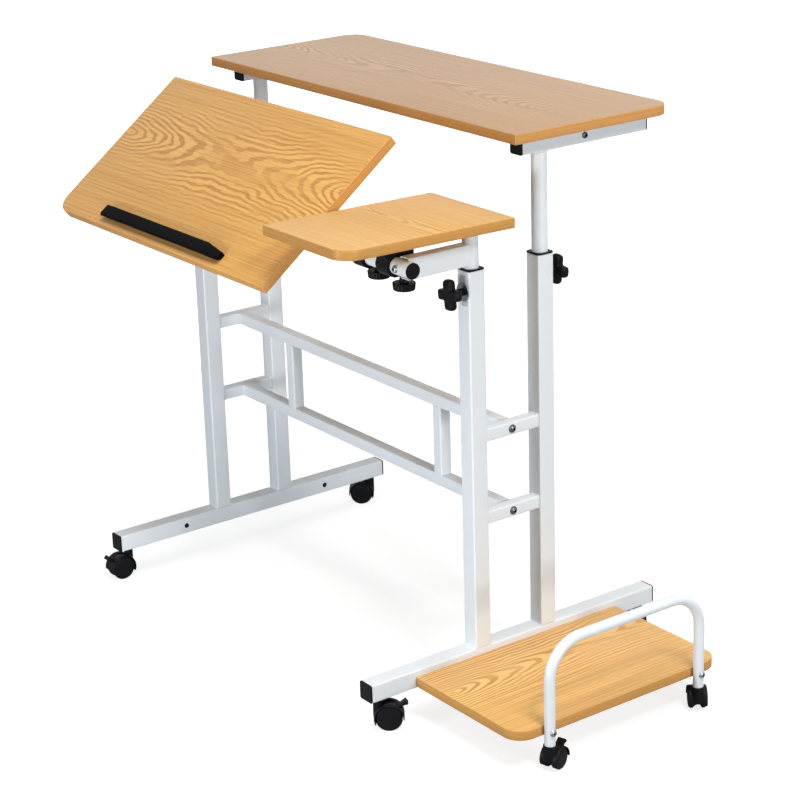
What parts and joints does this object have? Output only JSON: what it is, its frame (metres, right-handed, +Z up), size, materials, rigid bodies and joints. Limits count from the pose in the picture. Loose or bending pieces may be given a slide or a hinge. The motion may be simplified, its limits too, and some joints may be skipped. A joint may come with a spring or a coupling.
{
  "type": "mobile laptop table",
  "caption": "White steel laptop table on casters with a tilting oak-look desk board, a side board, a raised rear shelf and a low computer shelf.",
  "frame": {"origin": "on the floor under the middle of the whole object's bounding box", "axes": "+X to the right of the person at the desk, +Y away from that person, +Z up"},
  "size_m": [1.0414, 0.6032, 0.857],
  "materials": {
    "oak_laminate": "satin",
    "shelf_laminate": "satin",
    "white_steel": "satin",
    "black_plastic": "matte",
    "wheel_plastic": "matte"
  },
  "bodies": {
    "base": {"left_foot": "white_steel", "right_foot": "white_steel", "left_front_leg": "white_steel", "left_rear_leg": "white_steel", "right_front_leg": "white_steel", "right_rear_leg": "white_steel", "left_front_bushing": "black_plastic", "left_rear_bushing": "black_plastic", "right_front_bushing": "black_plastic", "right_rear_bushing": "black_plastic", "back_frame": "white_steel", "left_front_foot_cap": "black_plastic", "left_rear_foot_cap": "black_plastic", "right_front_foot_cap": "black_plastic", "right_rear_foot_cap": "black_plastic", "case_shelf_board": "oak_laminate", "hoop": "white_steel"},
    "rear_shelf": {"rear_shelf_board": "shelf_laminate", "left_shelf_bracket": "white_steel", "right_shelf_bracket": "white_steel", "left_shelf_bracket_front_cap": "black_plastic", "left_shelf_bracket_rear_cap": "black_plastic", "right_shelf_bracket_front_cap": "black_plastic", "right_shelf_bracket_rear_cap": "black_plastic"},
    "front_desk": {"left_desk_bracket": "white_steel", "right_desk_bracket": "white_steel", "pivot_tube": "white_steel", "left_pivot_plug": "black_plastic", "right_pivot_plug": "black_plastic"},
    "tilt_desk": {"tilt_board": "oak_laminate", "stopper_ledge": "black_plastic", "tilt_clamp_left": "black_plastic", "tilt_clamp_right": "black_plastic"},
    "side_desk": {"side_board": "oak_laminate", "side_clamp_left": "black_plastic", "side_clamp_right": "black_plastic"},
    "left_front_star_knob": {"left_front_star_knob": "black_plastic"},
    "left_rear_star_knob": {"left_rear_star_knob": "black_plastic"},
    "right_front_star_knob": {"right_front_star_knob": "black_plastic"},
    "right_rear_star_knob": {"right_rear_star_knob": "black_plastic"},
    "tilt_clamp_left_knob": {"tilt_clamp_left_knob": "black_plastic"},
    "tilt_clamp_right_knob": {"tilt_clamp_right_knob": "black_plastic"},
    "side_clamp_left_knob": {"side_clamp_left_knob": "black_plastic"},
    "side_clamp_right_knob": {"side_clamp_right_knob": "black_plastic"},
    "left_front_caster_hood": {"left_front_caster_hood": "black_plastic"},
    "left_front_caster_wheels": {"left_front_caster_wheels": "wheel_plastic"},
    "left_front_caster_brake": {"left_front_caster_brake": "black_plastic"},
    "left_rear_caster_hood": {"left_rear_caster_hood": "black_plastic"},
    "left_rear_caster_wheels": {"left_rear_caster_wheels": "wheel_plastic"},
    "right_front_caster_hood": {"right_front_caster_hood": "black_plastic"},
    "right_front_caster_wheels": {"right_front_caster_wheels": "wheel_plastic"},
    "right_front_caster_brake": {"right_front_caster_brake": "black_plastic"},
    "right_rear_caster_hood": {"right_rear_caster_hood": "black_plastic"},
    "right_rear_caster_wheels": {"right_rear_caster_wheels": "wheel_plastic"},
    "hoop_front_caster_hood": {"hoop_front_caster_hood": "black_plastic"},
    "hoop_front_caster_wheels": {"hoop_front_caster_wheels": "wheel_plastic"},
    "hoop_front_caster_brake": {"hoop_front_caster_brake": "black_plastic"},
    "hoop_rear_caster_hood": {"hoop_rear_caster_hood": "black_plastic"},
    "hoop_rear_caster_wheels": {"hoop_rear_caster_wheels": "wheel_plastic"}
  },
  "joints": [
    {"name": "rear_shelf_slide", "type": "slide", "parent": "base", "child": "rear_shelf", "axis": [0, 0, 1], "range_m": [-0.14, 0.15]},
    {"name": "front_desk_slide", "type": "slide", "parent": "base", "child": "front_desk", "axis": [0, 0, 1], "range_m": [-0.004, 0.19]},
    {"name": "tilt_desk_hinge", "type": "hinge", "parent": "front_desk", "child": "tilt_desk", "pos_m": [-0.11665, -0.16793, 0.6895], "axis": [1, 0, 0], "range_deg": [-37.3, 22.7]},
    {"name": "side_desk_hinge", "type": "hinge", "parent": "front_desk", "child": "side_desk", "pos_m": [-0.11665, -0.16793, 0.6895], "axis": [1, 0, 0], "range_deg": [0, 60]},
    {"name": "left_front_star_knob_turn", "type": "hinge", "parent": "base", "child": "left_front_star_knob", "pos_m": [-0.4804, -0.06618, 0.635], "axis": [0, -1, 0], "range_deg": [-180, 180]},
    {"name": "left_rear_star_knob_turn", "type": "hinge", "parent": "base", "child": "left_rear_star_knob", "pos_m": [-0.4804, 0.08982, 0.635], "axis": [0, 1, 0], "range_deg": [-180, 180]},
    {"name": "right_front_star_knob_turn", "type": "hinge", "parent": "base", "child": "right_front_star_knob", "pos_m": [0.2471, -0.06618, 0.635], "axis": [0, -1, 0], "range_deg": [-180, 180]},
    {"name": "right_rear_star_knob_turn", "type": "hinge", "parent": "base", "child": "right_rear_star_knob", "pos_m": [0.2471, 0.08982, 0.635], "axis": [0, 1, 0], "range_deg": [-180, 180]},
    {"name": "tilt_clamp_left_knob_turn", "type": "hinge", "parent": "tilt_desk", "child": "tilt_clamp_left_knob", "pos_m": [-0.42865, -0.15003, 0.70313], "axis": [0, 0.606, -0.7955], "range_deg": [-180, 180]},
    {"name": "tilt_clamp_right_knob_turn", "type": "hinge", "parent": "tilt_desk", "child": "tilt_clamp_right_knob", "pos_m": [-0.00865, -0.15003, 0.70313], "axis": [0, 0.606, -0.7955], "range_deg": [-180, 180]},
    {"name": "side_clamp_left_knob_turn", "type": "hinge", "parent": "side_desk", "child": "side_clamp_left_knob", "pos_m": [0.15485, -0.14543, 0.68911], "axis": [0, -0.0175, -0.9998], "range_deg": [-180, 180]},
    {"name": "side_clamp_right_knob_turn", "type": "hinge", "parent": "side_desk", "child": "side_clamp_right_knob", "pos_m": [0.21485, -0.14552, 0.68411], "axis": [0, -0.0175, -0.9998], "range_deg": [-180, 180]},
    {"name": "left_front_caster_swivel", "type": "hinge", "parent": "base", "child": "left_front_caster_hood", "pos_m": [-0.4804, -0.23998, 0], "axis": [0, 0, 1], "continuous": true},
    {"name": "left_front_caster_roll", "type": "hinge", "parent": "left_front_caster_hood", "child": "left_front_caster_wheels", "pos_m": [-0.4804, -0.25598, 0.02], "axis": [-1, 0, 0], "continuous": true},
    {"name": "left_front_caster_brake_tip", "type": "hinge", "parent": "left_front_caster_hood", "child": "left_front_caster_brake", "pos_m": [-0.4804, -0.26817, 0.03807], "axis": [-1, 0, 0], "range_deg": [-8, 0]},
    {"name": "left_rear_caster_swivel", "type": "hinge", "parent": "base", "child": "left_rear_caster_hood", "pos_m": [-0.4804, 0.26962, 0], "axis": [0, 0, 1], "continuous": true},
    {"name": "left_rear_caster_roll", "type": "hinge", "parent": "left_rear_caster_hood", "child": "left_rear_caster_wheels", "pos_m": [-0.4898, 0.25668, 0.02], "axis": [-0.809, 0.5878, 0], "continuous": true},
    {"name": "right_front_caster_swivel", "type": "hinge", "parent": "base", "child": "right_front_caster_hood", "pos_m": [0.2471, -0.23998, 0], "axis": [0, 0, 1], "continuous": true},
    {"name": "right_front_caster_roll", "type": "hinge", "parent": "right_front_caster_hood", "child": "right_front_caster_wheels", "pos_m": [0.2565, -0.22703, 0.02], "axis": [0.809, -0.5878, 0], "continuous": true},
    {"name": "right_front_caster_brake_tip", "type": "hinge", "parent": "right_front_caster_hood", "child": "right_front_caster_brake", "pos_m": [0.26367, -0.21717, 0.03807], "axis": [0.809, -0.5878, 0], "range_deg": [-8, 0]},
    {"name": "right_rear_caster_swivel", "type": "hinge", "parent": "base", "child": "right_rear_caster_hood", "pos_m": [0.2471, 0.26962, 0], "axis": [0, 0, 1], "continuous": true},
    {"name": "right_rear_caster_roll", "type": "hinge", "parent": "right_rear_caster_hood", "child": "right_rear_caster_wheels", "pos_m": [0.2551, 0.25577, 0.02], "axis": [-0.866, -0.5, 0], "continuous": true},
    {"name": "hoop_front_caster_swivel", "type": "hinge", "parent": "base", "child": "hoop_front_caster_hood", "pos_m": [0.50495, -0.12768, 0], "axis": [0, 0, 1], "continuous": true},
    {"name": "hoop_front_caster_roll", "type": "hinge", "parent": "hoop_front_caster_hood", "child": "hoop_front_caster_wheels", "pos_m": [0.50124, -0.11627, 0.016], "axis": [0.9511, 0.309, 0], "continuous": true},
    {"name": "hoop_front_caster_brake_tip", "type": "hinge", "parent": "hoop_front_caster_hood", "child": "hoop_front_caster_brake", "pos_m": [0.49817, -0.1068, 0.03076], "axis": [0.9511, 0.309, 0], "range_deg": [-8, 0]},
    {"name": "hoop_rear_caster_swivel", "type": "hinge", "parent": "base", "child": "hoop_rear_caster_hood", "pos_m": [0.50495, 0.15732, 0], "axis": [0, 0, 1], "continuous": true},
    {"name": "hoop_rear_caster_roll", "type": "hinge", "parent": "hoop_rear_caster_hood", "child": "hoop_rear_caster_wheels", "pos_m": [0.49524, 0.16437, 0.016], "axis": [0.5878, 0.809, 0], "continuous": true}
  ]
}
